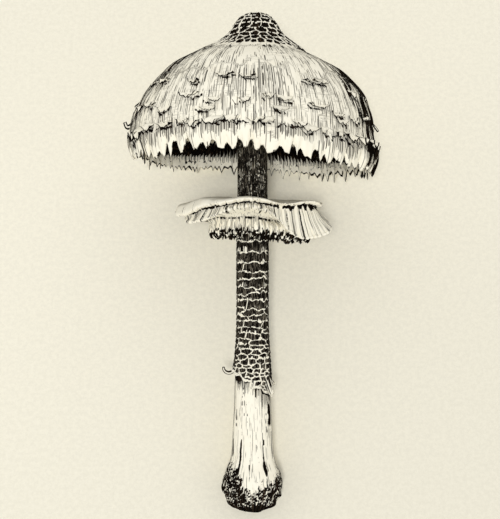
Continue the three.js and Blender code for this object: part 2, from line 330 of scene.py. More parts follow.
class Tree:
    """A short way to write a material's nodes."""

    def __init__(self, name):
        self.material = bpy.data.materials.new(name)
        self.material.use_nodes = True
        self.nodes = self.material.node_tree.nodes
        self.links = self.material.node_tree.links
        self.place = self.nodes.new("ShaderNodeNewGeometry").outputs["Position"]

    def connect(self, value, socket):
        if isinstance(value, bpy.types.NodeSocket):
            self.links.new(value, socket)
        elif isinstance(value, tuple):
            socket.default_value = (*value, 1) if len(socket.default_value) == 4 else value
        else:
            socket.default_value = value

    def node(self, kind, *values, **settings):
        """A new node with its settings, and with the values in its first inputs."""
        node = self.nodes.new("ShaderNode" + kind)
        for label, setting in settings.items():
            setattr(node, label, setting)
        for value, socket in zip(values, node.inputs):
            self.connect(value, socket)
        return node

    def attribute(self, name, output="Fac"):
        return self.node("Attribute", attribute_name=name).outputs[output]

    def math(self, operation, *values):
        return self.node("Math", *values, operation=operation).outputs[0]

    def times(self, first, *others):
        for other in others:
            first = self.math("MULTIPLY", first, other)
        return first

    def plus(self, first, second):
        return self.math("ADD", first, second)

    def minus(self, first, second):
        return self.math("SUBTRACT", first, second)

    def vector(self, operation, output, *values):
        return self.node("VectorMath", *values, operation=operation).outputs[output]

    def strands(self, grain, finer, seed):
        """Lines that lie side by side and run along the grain, one for each unit across it. For each point:
        how far it is from the middle of its line, how solid the line is there, and the line's own number."""
        x, y, along = self.node("SeparateXYZ", grain).outputs
        spread = self.math("SQRT", self.plus(self.times(x, x), self.times(y, y)))
        place = self.times(self.math("ARCTAN2", y, x), self.times(spread, finer))
        line = self.math("FLOOR", place)
        draw = self.node("TexWhiteNoise", noise_dimensions="1D")
        self.connect(self.plus(line, seed), draw.inputs["W"])
        own = draw.outputs["Value"]
        middle = self.plus(line, self.plus(self.times(own, 0.4), 0.3))
        away = self.math("ABSOLUTE", self.minus(place, middle))
        lengthwise = self.plus(along, self.times(own, 0.7))
        joined = self.node("CombineXYZ", self.times(line, 0.4), lengthwise, seed).outputs[0]
        return away, self.noise(joined, detail=1.5), own

    def noise(self, vector, scale=1.0, detail=2.0):
        node = self.node("TexNoise")
        self.connect(vector, node.inputs["Vector"])
        for label, value in (("Scale", scale), ("Detail", detail), ("Roughness", NOISE_ROUGHNESS)):
            node.inputs[label].default_value = value
        return node.outputs["Fac"]

    def step(self, value, start, end):
        """0 below start, 1 above end and smooth between; start may be above end."""
        return self.node("MapRange", value, start, end, interpolation_type="SMOOTHSTEP").outputs["Result"]

    def mix(self, factor, first, second):
        node = self.node("Mix", data_type="RGBA")
        for label, value in (("Factor", factor), ("A", first), ("B", second)):
            self.connect(value, node.inputs[label])
        return node.outputs["Result"]

    def bump(self, height, distance, strength, below=None):
        node = self.node("Bump")
        node.inputs["Strength"].default_value = strength
        node.inputs["Distance"].default_value = distance
        self.connect(height, node.inputs["Height"])
        if below is not None:
            self.connect(below, node.inputs["Normal"])
        return node.outputs["Normal"]

    def finished(self, colour, normal, roughness, specular):
        """The material, with its shader set."""
        sockets = self.nodes["Principled BSDF"].inputs
        self.connect(colour, sockets["Base Color"])
        self.connect(normal, sockets["Normal"])
        self.connect(roughness, sockets["Roughness"])
        self.connect(specular, sockets["Specular IOR Level"])
        return self.material


def flesh(name, pale=CREAM, thread=RUST, streak_line=0.72, fibre=0.5, rungs=0.0, lumpy=0.25, brush=0.4):
    """Fungus flesh, dark and streaky where a piece's looks say so. Streaks run along the grain's third
    direction, and rungs across it."""
    tree = Tree(name)
    times, plus, minus, step = tree.times, tree.plus, tree.minus, tree.step
    darkness = tree.attribute("dark")
    streaks = tree.attribute("streak")
    grain = tree.attribute("grain", "Vector")
    asked = times(streaks, 0.4)
    half = plus(times(streaks, 0.13), 0.09)

    def drawn(away, solid, level, strength):
        """How much of a strand shows. Strands are thicker and more solid where streaks are asked for."""
        there = step(plus(solid, asked), level, level + 0.06)
        thick = times(half, there)
        return times(step(away, plus(thick, 0.1), minus(thick, 0.02)), there, strength)

    def shares(value, least):
        """Numbers from least to 1 in place of numbers from 0 to 1."""
        return plus(times(value, 1 - least), least)

    # Dark streaks in two sizes, and rungs across them in patches, where the piece asks for them.
    away, solid, own = tree.strands(grain, 1.0, 3.0)
    hair_away, hair_solid, hair_own = tree.strands(grain, 1.6, 11.0)
    bold = drawn(away, solid, streak_line, shares(own, 0.55))
    hairs = drawn(hair_away, hair_solid, streak_line - 0.02, shares(hair_own, 0.25))
    streaky = tree.math("MAXIMUM", bold, hairs)
    if rungs:
        across = tree.noise(tree.vector("MULTIPLY", 0, grain, (0.12, 0.12, 9)), detail=0.5)
        off_middle = tree.math("ABSOLUTE", minus(across, 0.5))
        woven = times(step(tree.noise(tree.place, 75, 1.0), 0.5, 0.56), step(streaks, 0.4, 0.6), rungs)
        streaky = tree.math("MAXIMUM", streaky, times(step(off_middle, 0.035, 0.015), woven))
    streaky = times(streaky, step(streaks, 0.02, 0.12))

    # The dark places have a ragged edge and pale fibres through them.
    lumps = times(minus(tree.noise(tree.place, 900, 2.0), 0.5), 2 * lumpy)
    brushed = times(minus(plus(times(solid, 1.3), times(own, 0.45)), 0.875), brush)
    blot = step(plus(darkness, plus(lumps, brushed)), 0.42, 0.54)
    threads = tree.noise(tree.vector("MULTIPLY", 0, grain, (1.3, 1.3, 0.8)), detail=3.0)
    threaded = times(step(threads, 0.54, 0.66), fibre)

    # Pale flesh is a little uneven, and browner where it is worn.
    worn = times(step(tree.noise(tree.place, 90, 3.0), 0.45, 0.75), 0.12)
    ground = tree.mix(worn, pale, tuple(c * f for c, f in zip(pale, (0.86, 0.78, 0.62))))
    cover = tree.math("MAXIMUM", streaky, blot)
    colour = tree.mix(cover, ground, tree.mix(threaded, UMBER, thread))
    relief = plus(times(streaky, -0.6), times(threads, 0.5))
    coarse = tree.bump(relief, 0.00035, 0.6)
    normal = tree.bump(tree.noise(tree.place, 1500, 2.0), 0.00012, 0.4, coarse)
    return tree.finished(colour, normal, roughness=0.8, specular=0.0)


def grain_of(angle, along, fineness, length):
    """Where points lie in the grain of streaks that run along a turned surface."""
    return polar(fineness, angle, along / length)


# ---- Cap ----

CAP_COLUMNS = 584
CAP_OUTSIDE = [
    (60.5, BRIM_HEIGHT), (61.3, BRIM_HEIGHT + 3.2), (CAP_RADIUS, BRIM_HEIGHT + 9.2),
    (60.6, BRIM_HEIGHT + 18.7), (57.6, BRIM_HEIGHT + 28.2), (53.2, BRIM_HEIGHT + 36.2),
    (47.0, BRIM_HEIGHT + 43.5), (39.5, CAP_TOP - 26.6), (31.0, CAP_TOP - 22.0), (23.0, CAP_TOP - 17.8),
    (17.0, CAP_TOP - 13.8), (13.3, CAP_TOP - 10.0), (10.6, CAP_TOP - 5.6), (6.4, CAP_TOP - 1.5),
    (0, CAP_TOP),
]
CAP_UNDERSIDE = [
    (8.4, 224.6), (8.4, 220.7), (13.0, 220.6), (22.0, 221.4), (32.0, 218.6), (41.5, 213.8), (49.0, 207.4),
    (54.6, 199.4), (58.0, 189.0), (59.4, 181.0), (59.8, BRIM_HEIGHT + 3.8), (59.9, BRIM_HEIGHT + 1.8),
    (60.0, BRIM_HEIGHT + 0.5),
]
SKIN = smooth(CAP_OUTSIDE, 400)[::-1]  # from the top of the cap down to the brim
BRIM_AT = lengths(SKIN)[-1]
TOOTH_REACH = 11  # the torn edge shows this far up from the brim
NOTCHES = 64
FINE_UMBO = 44  # the mesh's rows are closer this far down from the top
FINE_BRIM = 12  # and this far up from the brim
UMBO_SHIFT = 1.7  # the umbo stands this far to the right
SHOULDER_FALL = 4.1  # the left shoulder lies this much further in than the right one
FOOT_DIP = 5.0  # and the foot of the umbo this much further in on the right


def grown(r, angle, z):
    """A point of the cap, which isn't quite round. Its brim waves, arches and hangs lower on the right, its
    left shoulder slopes, and its umbo stands a little to the right, steeper on that side."""
    reach = r / CAP_RADIUS
    swell = 1 + reach**2 * (0.006 * np.sin(3 * angle + 2) + 0.004 * np.sin(5 * angle + 1.2))
    wave = 0.7 * reach**3 * np.sin(4 * angle + 1)
    low = clamp((ARCH_TOP - z) / (ARCH_TOP - BRIM_HEIGHT), 0, 1.1)
    arch = -BRIM_ARCH * low**2 * np.cos(2 * angle)
    sloping = SHOULDER_FALL * hump(angle, math.pi, 0.9) * bell(z - 215, 17)
    foot = FOOT_DIP * bell(z - 227.3, np.where(z > 227.3, 3, 4.5))
    fuller = 1.5 * bell(z - 209, 6) - 1.2 * bell(z - 189, 6)
    out = (hump(angle, 0, 0.8) * (fuller - foot) - sloping) * ease((r - 18) / 20)
    points = polar(r * swell + out, angle, z - BRIM_DROP * reach**2 * np.cos(angle) + wave + arch)
    points[..., 0] += UMBO_SHIFT * ease((z - 222) / 14)
    return points


def skin_at(angle, down):
    """The point of the cap's skin at an angle and a distance down from the top."""
    r, z = walk(SKIN, down)
    return grown(r, angle, z)


def skin_frame(angle, down):
    """The skin's point and its outward direction."""
    here = skin_at(angle, down)
    fall = skin_at(angle, down + 0.5) - skin_at(angle, down - 0.5)
    side = skin_at(angle + 0.01, down) - skin_at(angle - 0.01, down)
    out = np.cross(fall, side)
    return here, out / np.linalg.norm(out, axis=-1, keepdims=True)


def torn_edge(angle, count, long, notch, seed, spiky=0.6):
    """How far a torn edge hangs down at each angle: teeth, and between them notches that reach up. The teeth
    are broad where spiky is below 1, and thin between round arcs where it is above 1."""
    draw = np.random.default_rng(seed)
    tips = long * draw.uniform(0.2, 1.0, 2 * count) ** 1.4
    notches = -notch * draw.uniform(0.0, 1.0, 2 * count) ** 1.4
    at = np.cumsum(draw.uniform(0.35, 1.65, 2 * count))
    at *= TURN / at[-1]
    heights = np.tile(np.where(np.arange(2 * count) % 2, tips, notches), 3)
    at = np.concatenate([at - TURN, at, at + TURN])
    turned = angle % TURN
    before = np.searchsorted(at, turned) - 1
    share = (turned - at[before]) / (at[before + 1] - at[before])
    share = np.where(before % 2, 1 - (1 - share) ** spiky, share**spiky)
    teeth = heights[before] + (heights[before + 1] - heights[before]) * share
    around = polar(60, angle, 0)
    return teeth + 0.3 * noise(around, seed) + 0.1 * notch * noise(around * 0.35, seed + 1)


def notched_edge(angle):
    """A nearly even edge cut by round-topped notches of all heights."""
    draw = np.random.default_rng(16)
    edge = torn_edge(angle, 80, 1.7, 0.9, 13)
    for n in range(NOTCHES):
        place = (n + draw.uniform(-0.3, 0.3)) * TURN / NOTCHES
        height, half = draw.uniform(2.0, 7.5), draw.uniform(1.0, 2.0)
        height *= 1 - 0.35 * hump(place, -0.5, 0.5)
        aside = angle_between(angle, place) * BRIM_RADIUS / half
        edge = edge - height * clamp(1 - aside**2) ** 0.7
    return edge


def cap_edge(angle):
    """The torn brim: cut by deep notches where it faces up, and fringed with thin teeth where it faces down.
    It hangs lower beside the middle of the front, and is drawn up at the back of either side."""
    lower = 3.3 * hump(angle, -1.3, 0.45, 0.75) + 2.8 * hump(angle, -2.35, 0.22, 0.35)
    drawn_up = 2.0 * hump(angle, 0.45, 0.35) + 3.6 * hump(angle, math.pi - 0.2, 0.4, 0.3)
    back = ease(0.5 + 1.2 * np.sin(angle))
    fringed = torn_edge(angle, 128, 6.2, 0.6, 14, 1.7) * (1 - 0.55 * hump(angle, math.pi, 0.5))
    notched = notched_edge(angle)
    return notched + (fringed - notched) * back + lower - drawn_up


def add_tongue(patches, path, angle, width, thick=0.7, outline=0.3, faces=False, spotted=1):
    """A strip of skin that has come loose and curls away, along its path of radii and heights. Outline says
    how dark its edges are, faces if its middle is as dark, and spotted if its outer side has a spot."""
    path = smooth(path, 18)
    along, across = np.meshgrid(np.linspace(0, 1, len(path)), np.linspace(-1, 1, 17), indexing="ij")
    r, z = path[:, :1], path[:, 1:]
    away = np.gradient(path, axis=0)
    away /= np.linalg.norm(away, axis=1, keepdims=True)
    half = 0.5 * width * (1 - 0.45 * along**2)
    half_thick = 0.5 * thick * np.sqrt(1.05 - across**2) * (1 - 0.35 * along)
    turned = angle + across * half / r
    sides = []
    for s in (1, -1):
        wavy = z + s * half_thick * away[:, :1] + 0.25 * np.sin(4 * across)
        sides.append(polar(r - s * half_thick * away[:, 1:], turned, wavy))
    spot = 0.62 * ease((0.75 - along) / 0.4) * ease((0.5 - abs(across)) / 0.3) * spotted
    edge = ease((1.02 - abs(across)) / 0.12) * outline
    if not faces:
        edge = edge * ease((abs(across) - 0.6) / 0.15)
    dark, streak = (most(spot, edge), edge), (0.3 + spot, 0.4 + edge)
    patches.add(*sides, dark, streak, grain_of(turned, z, 18, 4))


# Longer tongues that stand away from the cap's sides: path, angle and thickness.
HOOK_WIDTH = 3.4
HOOKS = [
    ([(50.5, 205.5), (54.0, 203.6), (56.8, 201.7), (58.2, 200.6)], -3.02, 1.9),
    ([(54.5, 200.2), (57.4, 195.6), (60.0, 191.8), (62.2, 190.9), (63.3, 193.1)], -3.02, 2.6),
    ([(56.0, 196.5), (58.6, 193.2), (60.8, 190.8), (62.3, 188.8)], -0.12, 1.5),
]

# The rows of scales: distance down the skin, how many round the cap, their width, length and lift, and how
# much they vary in place.
SCALE_ROWS = [
    (70.0, 21, 6.8, 4.2, 1.4, 2.6),
    (80.3, 30, 6.8, 4.8, 1.8, 2.2),
    (86.0, 9, 5.6, 4.2, 1.7, 2.0),
    (90.6, 44, 7.0, 5.2, 2.1, 1.6),
]
GROUND_GAP = 0.007  # metres above the floor within which no scale grows


def ledge_dip(angle):
    """How much further down the skin the lowest scales and the ledge lie at either side of the front."""
    return 2.8 * hump(angle, -2.75, 0.45) + 3.2 * hump(angle, -0.45, 0.75, 0.6)


def scale_list():
    """Each scale of torn skin: its root's angle and distance down, its width, length and lift, and a seed."""
    draw = np.random.default_rng(5)
    found = []
    for row, count, width, length, lift, spread in SCALE_ROWS:
        for n in range(count):
            angle = (n + draw.uniform(-0.33, 0.33)) * TURN / count
            root = row + draw.normal() * spread * 0.5
            sizes = width * draw.uniform(0.6, 1.35), length * draw.uniform(0.75, 1.25)
            raised = lift * draw.uniform(0.6, 1.4)
            seed = int(draw.integers(1000))
            if root < 88:
                raised *= 1 - 0.75 * abs(math.cos(angle)) ** 3
            raised *= 1 - 0.65 * hump(angle, 0, 0.4) - 0.65 * hump(angle, math.pi, 0.4)
            root += ledge_dip(angle) * ease((row - 72) / 10)
            if placed(skin_at(angle, root))[2] > GROUND_GAP:
                found.append((angle, root, *sizes, raised, seed))
    return found


SCALES = scale_list()


def scale_reach(length, seed, side):
    """How far down from its root a scale's ragged, rounded lip lies, at places from -1 to 1 across it."""
    draw = np.random.default_rng(seed)
    ragged = 1 + 0.24 * np.interp(side, np.linspace(-1, 1, 12), draw.uniform(-1, 1, 12))
    return length * ragged * (1 - 0.5 * np.minimum(abs(side), 1) ** 2.5)


def umbo_list():
    """The plates of the umbo, in rings that grow wider apart down the skin."""
    draw = np.random.default_rng(3)
    plates, down, ring = [], 0.9, 0
    while down < 52:
        round_about = TURN * walk(SKIN, down)[0]
        height = 2.3 + 0.0045 * down**2
        width = 4.4 + 0.05 * down - 2.6 * ease((down - 20) / 12)
        count = max(2, round(round_about / width))
        for n in range(count):
            angle = (n + 0.5 * (ring % 2) + draw.uniform(-0.3, 0.3)) * TURN / count
            own_width = round_about / count * draw.uniform(0.9, 1.25)
            own_place = down + draw.uniform(-0.22, 0.22) * height
            plates.append((angle, own_place, own_width, height * draw.uniform(0.85, 1.15)))
        down, ring = down + height, ring + 1
    return plates


def umbo_plates(angle, down):
    """How much each point of the skin belongs to a dark plate of the umbo. Further down they thin out."""
    share = np.zeros(angle.shape)
    near = down[:, 0] < 54
    turned, row = angle[near], down[near]
    r = walk(SKIN, row)[0]
    here = skin_at(turned, row)
    bent = row + 0.5 * noise(here / 1.6, 1) + 0.3 * noise(here / 0.7, 3)
    bend = 0.35 * noise(here / 1.8, 2) + 0.25 * noise(here / 0.7, 5)
    ahead, apart, which = plate_shares(turned + bend / np.maximum(r, 1.5), bent, r, umbo_list())
    limit = 30 + 6 * hump(turned, FRONT, 1.0)
    fade = ease((row - limit + 5) / 11)
    kept = np.random.default_rng(4).uniform(0, 1, 1000)[which % 1000]
    crack = 0.12 * ease(row / 8) + 0.35 * fade
    size = 1.1 - 0.66 * fade - 0.8 * ease((fade - 0.4) / 0.6) * kept
    share[near] = ease((ahead - crack) / 0.3) * ease((size - apart) / 0.12) * ease((limit + 11 - row) / 2)
    return most(share, 0.9 * ease((4.5 - down) / 2))


def sides_shift(down):
    """How far in front of the cap's sides its outline lies, as an angle: further where the skin slopes."""
    at = lengths(SKIN)
    slope = np.gradient(SKIN[:, 0], at) / np.maximum(-np.gradient(SKIN[:, 1], at), 0.05)
    raised = (SKIN[:, 1] - VIEW_HEIGHT) / VIEW_DISTANCE
    return np.interp(down, at, np.arcsin(clamp(slope * raised, 0, 0.6)))


def ledge_line(angle):
    """The ragged line, as a distance down the skin, along which the skin has torn all round."""
    around = polar(9, angle, 0)
    ragged = 1.3 * noise(around, 21) + 1.2 * noise(around * 3.1, 22) + 0.7 * noise(around * 7, 23)
    return 94.0 + ledge_dip(angle) + ragged


def cap_rows():
    """Distances down the skin for the rows of the cap's mesh, closer on the umbo and at the brim."""
    umbo = np.arange(0.5, FINE_UMBO, 0.64)
    middle = np.arange(FINE_UMBO, BRIM_AT - FINE_BRIM, 1.08)
    brim = np.linspace(BRIM_AT - FINE_BRIM, BRIM_AT, 19)
    return np.concatenate([umbo, middle, brim])


def cap_inside():
    """Radii and heights of the flesh's underside for the rows of the cap's mesh, closer near the brim."""
    line = smooth(CAP_UNDERSIDE, 300)[::-1]
    return walk(line, np.concatenate([np.arange(0, 9, 0.6), np.linspace(9.6, lengths(line)[-1], 12)]))


def painted_scale_shadows(r, angle, down):
    """How dark the painted shadow is on the skin right beneath the lips of the scales, and how streaky the
    painted shade is further below them.
    """
    dark, streak = 0, 0
    for turned, root, width, length, _, seed in SCALES:
        side = angle_between(angle, turned) * r / (0.5 * width)
        lip = root + 0.78 * scale_reach(length, seed, side)
        dark = most(dark, 0.9 * bell(down - lip - 0.4, 0.65) * ease((1.12 - abs(side)) / 0.2))
        drop = ease((down - lip) / 0.5) * ease((lip + 6 - down) / 5) * ease((1.2 - abs(side)) / 0.5)
        streak = most(streak, 0.75 * drop)
    return dark, streak


def cap_painted_shade(points, r, angle, down, ledge):
    """Painted shade on the cap: how much it darkens the skin at the cap's sides, and how dark it makes the
    skin where it is seen edge-on.
    """
    shift = sides_shift(down)
    left = 0.95 + 0.6 * ease((80 - down) / 14) - 0.15 * ease((down - 86) / 8)
    painted_flank_shade = left * hump(angle - shift, math.pi + 0.16, 0.13, 0.36)
    painted_flank_shade += 1.45 * hump(angle + shift, -0.15, 0.4, 0.17)
    torn = 1 - clamp(0.85 + 1.3 * noise(points / (2.2, 2.2, 3.6), 67))
    ragged = 1 - ease((down - ledge) / 3) * torn
    patches = clamp(0.92 + 0.5 * noise(points / 9, 62), 0.55, 1.2)
    narrow = 0.13 * np.sqrt(45 / np.maximum(r, 18))
    edge_on_shade = hump(angle + shift, -0.12, narrow) + hump(angle - shift, math.pi + 0.12, 0.9 * narrow)
    edge_shade = (0.5 + 0.24 * ease((down - 38) / 8)) * ease((down - 2) / 4)
    return painted_flank_shade * patches * ragged * ease((down - 30) / 8), edge_on_shade * edge_shade * ragged


def brim_shade_and_lines(angle, z, around, inside):
    """How dark the painted shade of the hollow is, and the lines along the torn edge and along a second edge
    inside it.
    """
    above = z - BRIM_HEIGHT
    # The hollow darkens upwards from the brim: painted shade.
    deep = ease((above - 9.4 + 1.5 * noise(around * 2.2, 65)) / 5)
    second = bell(above - 4.2 + 0.8 * torn_edge(angle, 150, 2.6, 0.8, 15, 1.7), 0.5)
    second *= clamp(0.8 + 0.9 * noise(around * 2, 66))
    rim = (0.5 + 0.7 * inside) * ease((1.4 - above) / 0.9) * clamp(1.4 + 0.9 * noise(around * 1.5, 63))
    return most(0.8 * deep * inside, 0.75 * second * inside, 0.85 * rim)


def build_cap():
    """The skin with its torn brim, and the flesh's underside, as one closed surface."""
    r_in, z_in = cap_inside()
    rows = cap_rows()
    outer_rows, inner_rows = [*walk(SKIN, rows), rows], [r_in, z_in, BRIM_AT + z_in - BRIM_HEIGHT]
    r, z, down, outer, angle = turned_grid(CAP_COLUMNS, *sides_of_sheet(outer_rows, inner_rows))

    around = polar(16, angle, 0)
    hangs = ease((BRIM_HEIGHT + TOOTH_REACH - z) / TOOTH_REACH) * (r > 55)
    flutter = (noise(around * 1.7, 31) - 0.9) * ease((BRIM_HEIGHT + 6 - z) / 7) * (r > 55)
    points = grown(r + flutter, angle, z - hangs * cap_edge(angle))
    plates = umbo_plates(angle, down)
    ledge = ledge_line(angle)
    broken = ease(noise(around * 0.45, 41) * 2 + 0.75)
    below = ease((down - ledge) / 1.1) * ease((ledge + 12 - down) / 9)
    uneven = 0.55 * rough(points / 15, 61) + 0.13 * noise(polar(62, angle, down / 9), 51)
    lift = 0.45 * plates + uneven * ease((down - 34) / 8) - 0.75 * below * broken
    points = points + normals_of(points) * (outer * lift)[..., None]

    # Painted shade: shadows beneath the scales' lips, the cap's shaded sides, the skin's edges where they are
    # seen edge-on, and the hollow inside the brim.
    painted_scale_shadow, shade_streaks_below = painted_scale_shadows(r, angle, down)
    painted_flank_shade, edge_on_shade = cap_painted_shade(points, r, angle, down, ledge)
    line = bell(down - ledge - 0.5, 0.55) * broken
    limit = 0.56 + 0.2 * ease(np.cos(angle)) + 0.2 * hump(angle, -0.05, 0.13)
    dark = outer * most(plates, 0.9 * line, painted_scale_shadow, np.minimum(0.72 * painted_flank_shade, limit), edge_on_shade)
    dark = most(dark, brim_shade_and_lines(angle, z, around, 1 - outer))
    # Streaks are denser as painted shade below the ledge, below the scales, on the shaded sides and up into
    # the hollow inside the brim.
    streak = 0.56 + 0.14 * noise(points / 11, 64) - 0.25 * clamp(np.cos(angle)) ** 4
    streak += 0.4 * bell(down - ledge - 2.5, 2.6) * broken - 0.2 * ease((down - ledge - 4) / 3)
    streak = most(streak, shade_streaks_below) * ease((down - 36) / 6) + 0.3 * painted_flank_shade
    streak = np.where(outer, streak, 0.1 + 0.8 * ease((z - BRIM_HEIGHT - 2) / 5))
    fineness = np.where(down > 64 + 6 * noise(around * 0.6, 64), 52, np.where(down > 44, 36, 25))
    looks = dark, clamp(streak), grain_of(angle, down, fineness, 12)
    material = flesh("cap_skin", rungs=0.4, brush=0.8)
    return turned_piece("cap_skin", points, looks, material, ("cap",))


def build_scales():
    """The scales of torn skin: each is rooted on its upper side and curls up along its ragged lower lip."""
    patches = Patches()
    down_scale = np.array([0, 0.25, 0.5, 0.7, 0.82, 0.89, 0.94, 1])
    across, along = np.meshgrid(np.linspace(-1, 1, 21), down_scale, indexing="xy")
    for turned, root, width, length, raised, seed in SCALES:
        draw = np.random.default_rng(seed + 1)
        down = root + scale_reach(length, seed, across) * (along - 0.22 * along**3)
        half = 0.5 * width * (0.9 + 0.1 * along)
        skew = 0.06 * draw.uniform(-1, 1) * along
        angle = turned + across * half / walk(SKIN, down)[0] + skew
        here, out = skin_frame(angle, down)
        horns = 1 + 0.55 * abs(across) ** 4 + 0.35 * draw.uniform(-1, 1) * across
        lift = raised * along**1.8 * horns - 0.25 * (1 - along)
        top = here + out * lift[..., None]
        under = top - out * (0.5 - 0.25 * along)[..., None]
        # The dark edge along the top of the lip is a painted shadow line, and the dark, streaky underside is
        # painted shade.
        dark = (0.85 * ease((along - 0.86) / 0.05), 0.55 + 0.1 * along)
        streak = (0.1 + 0.1 * along, 0.8 + 0 * along)
        patches.add(top, under, dark, streak, grain_of(angle, down, 105, 7))
    for path, angle, thick in HOOKS:
        add_tongue(patches, path, angle, HOOK_WIDTH, thick, outline=0.95, faces=True, spotted=0)
    return patches.piece("cap_scales", flesh("scale_skin"), "cap_skin")


# ---- Gills ----

GILL_EDGE = [
    (57.4, 180.0), (50.5, 184.5), (42.0, 190.0), (32.0, 196.5), (22.0, 202.5), (14.5, 208.0), (10.4, 212.5),
]  # the lower edge of a blade
GILLS = 92  # long ones, with a short one after each
GILL_REACH = 57.6  # the radius of their outer ends
COLLAR = [(9.4, 211.0), (11.4, 211.0), (11.6, 215.5), (11.4, 220.2), (9.4, 220.2)]
COLLAR_COLUMNS = 96


def add_gill(patches, angle, inner_end, seed):
    """One thin blade from its end near the brim in to inner_end, a radius, hanging from the cap's flesh."""
    draw = np.random.default_rng(seed)
    edge = smooth(GILL_EDGE, 40)[::-1]
    flesh_line = np.array([(r, z) for r, z in smooth(CAP_UNDERSIDE, 60) if r > 8.5 and z > BRIM_HEIGHT + 4])
    r_row = np.linspace(inner_end, GILL_REACH, max(8, round((58 - inner_end) / 1.6)))
    r, depth = np.meshgrid(r_row, np.array([0, 0.4, 0.75, 0.88, 0.93, 1]), indexing="xy")
    top = np.interp(r, flesh_line[:, 0], flesh_line[:, 1])
    foot = np.interp(r, edge[:, 0], edge[:, 1])
    short = ease((r - inner_end) / 7) if inner_end > 12 else 1
    z = top + 0.6 - (top + 0.6 - foot) * depth * short
    sway = 0.35 * np.sin(r * 0.35 + draw.uniform(0, 6)) * depth + 0.12 * np.sin(r * 1.3 + 6 * draw.uniform())
    half = 0.25 - 0.04 * depth
    sides = [grown(r, angle + (sway + s * half) / r, z) for s in (1, -1)]
    # Painted shade: the blades' faces are dark between their pale free edges, and their outer ends are dark
    # where the hollow is shaded.
    dark = most(0.95 * ease((0.93 - depth) / 0.05), 0.7 * ease((r - 43) / 5))
    patches.add(*sides, dark, 0.3 + 0 * r, grain_of(r / 30, z + 40 * seed, 45, 5))


def build_gills():
    """Long and short blades in turn, and the collar that the long ones stand on."""
    patches = Patches()
    for n in range(GILLS):
        add_gill(patches, (n + 0.5) * TURN / GILLS, 10.4, n)
        add_gill(patches, (n + 1.0) * TURN / GILLS, 34 + 7 * math.sin(n * 2.4), n + 200)
    material = flesh("gill_flesh", pale=(0.82, 0.76, 0.6), streak_line=0.7)
    patches.piece("gill_blades", material, "gill_flesh", ("gills",))
    r, z, angle = turned_grid(COLLAR_COLUMNS, *np.array(COLLAR).T)
    looks = 0.8 + 0 * r, 0.3 + 0 * r, grain_of(angle, z, 20, 3)
    points = grown(r, angle, z)
    return turned_piece("gill_collar", points, looks, material, ("gills",), poles=False)


# ---- Ring ----

RING_COLUMNS = 800
# The ring's section, from the bore round by the pleated frill, the fluted fan, the groove above it and the
# lip. The last three numbers say how much a point belongs to the frill, to the fan, and to the lip's edge.
RING_SECTION = [
    (RING_BORE, 142.6, 0, 0, 0), (16.0, 144.2, 0, 0, 0), (20.6, 142.6, 0.8, 0, 0), (23.2, 139.0, 1, 0, 0),
    (24.6, 136.8, 1, 0, 0), (25.6, 136.8, 1, 0, 0), (26.2, 139.0, 1, 0, 0), (25.7, 142.4, 1, 0, 0),
    (24.2, 145.3, 0.15, 0, 0), (26.0, 146.4, 0, 0.1, 0.1), (29.0, 147.4, 0, 0.35, 0.3),
    (31.6, 148.2, 0, 0.7, 0.5), (33.8, 149.0, 0, 1, 0.7), (34.3, 149.7, 0, 1, 0.7), (33.8, 150.3, 0, 1, 0.7),
    (33.3, 150.6, 0, 0.8, 0.7), (32.9, 150.8, 0, 0.6, 0.7), (32.6, 151.0, 0, 0.35, 0.7),
    (32.4, 151.2, 0, 0.12, 0.7), (32.7, 151.6, 0, 0, 0.8), (34.6, 152.1, 0, 0, 1), (35.9, 152.7, 0, 0, 1),
    (35.9, 153.3, 0, 0, 0.7), (34.6, 153.9, 0, 0, 0.2), (31.0, 154.4, 0, 0, 0), (26.0, 154.8, 0, 0, 0),
    (16.0, 155.3, 0, 0, 0), (RING_BORE, 155.0, 0, 0, 0),
]
FRILL_FOOT, JOIN, FAN_EDGE, GROOVE, LIP_EDGE = 4.6, 8, 13, 18.4, 21  # their places in the section
PLATE_ROOT = 12
PLATE_REACH = 24.6
FAN_REACH = 6.3
FAN_DROP = 13.6
LIP_HANG = 5
LIP_THIN = 1.2
PLEATS = 64
RIBS = 96


def fan_at(angle):
    """How far the fan folds down: broadly at the right and front, and a little at the left."""
    return hump(angle, -0.8, 0.35, 0.7) + 0.3 * hump(angle, -2.3, 0.5, 0.28)


def fan_spread(angle):
    """How far the fan spreads out."""
    return hump(angle, -0.35, 0.5, 0.4) + 0.3 * hump(angle, -2.3, 0.5, 0.28)


def ring_point(angle, radius, height, frill, fan, lip):
    reach = np.maximum(radius - PLATE_ROOT, 0) / PLATE_REACH
    lobes = 0.04 * np.sin(5 * angle + 3.8) + 0.03 * np.sin(8 * angle + 0.6) - 0.035 * np.cos(angle)
    hang = LIP_HANG * hump(angle, -2.65, 0.55) - LIP_THIN * hump(angle, -0.8, 0.6)
    plate = PLATE_REACH * reach * lobes + FAN_REACH * fan * fan_spread(angle) + 0.12 * hang * lip
    shift = FRILL_SHIFT * np.cos(angle) - 2.8 * hump(angle, math.pi, 0.9)
    r = radius + frill * shift + (1 - frill) * plate - 3.5 * fan * hump(angle, -3.0, 0.45)
    wave = (1 - 0.7 * frill) * reach * (1.1 * np.sin(3 * angle + 1.3) + 0.7 * np.sin(7 * angle))
    fall = FAN_DROP * fan * fan_at(angle) + hang * lip
    slant = (0.35 + 0.65 * frill) * RING_SLANT * r * np.cos(angle)
    return polar(r, angle, height + wave - fall - slant)


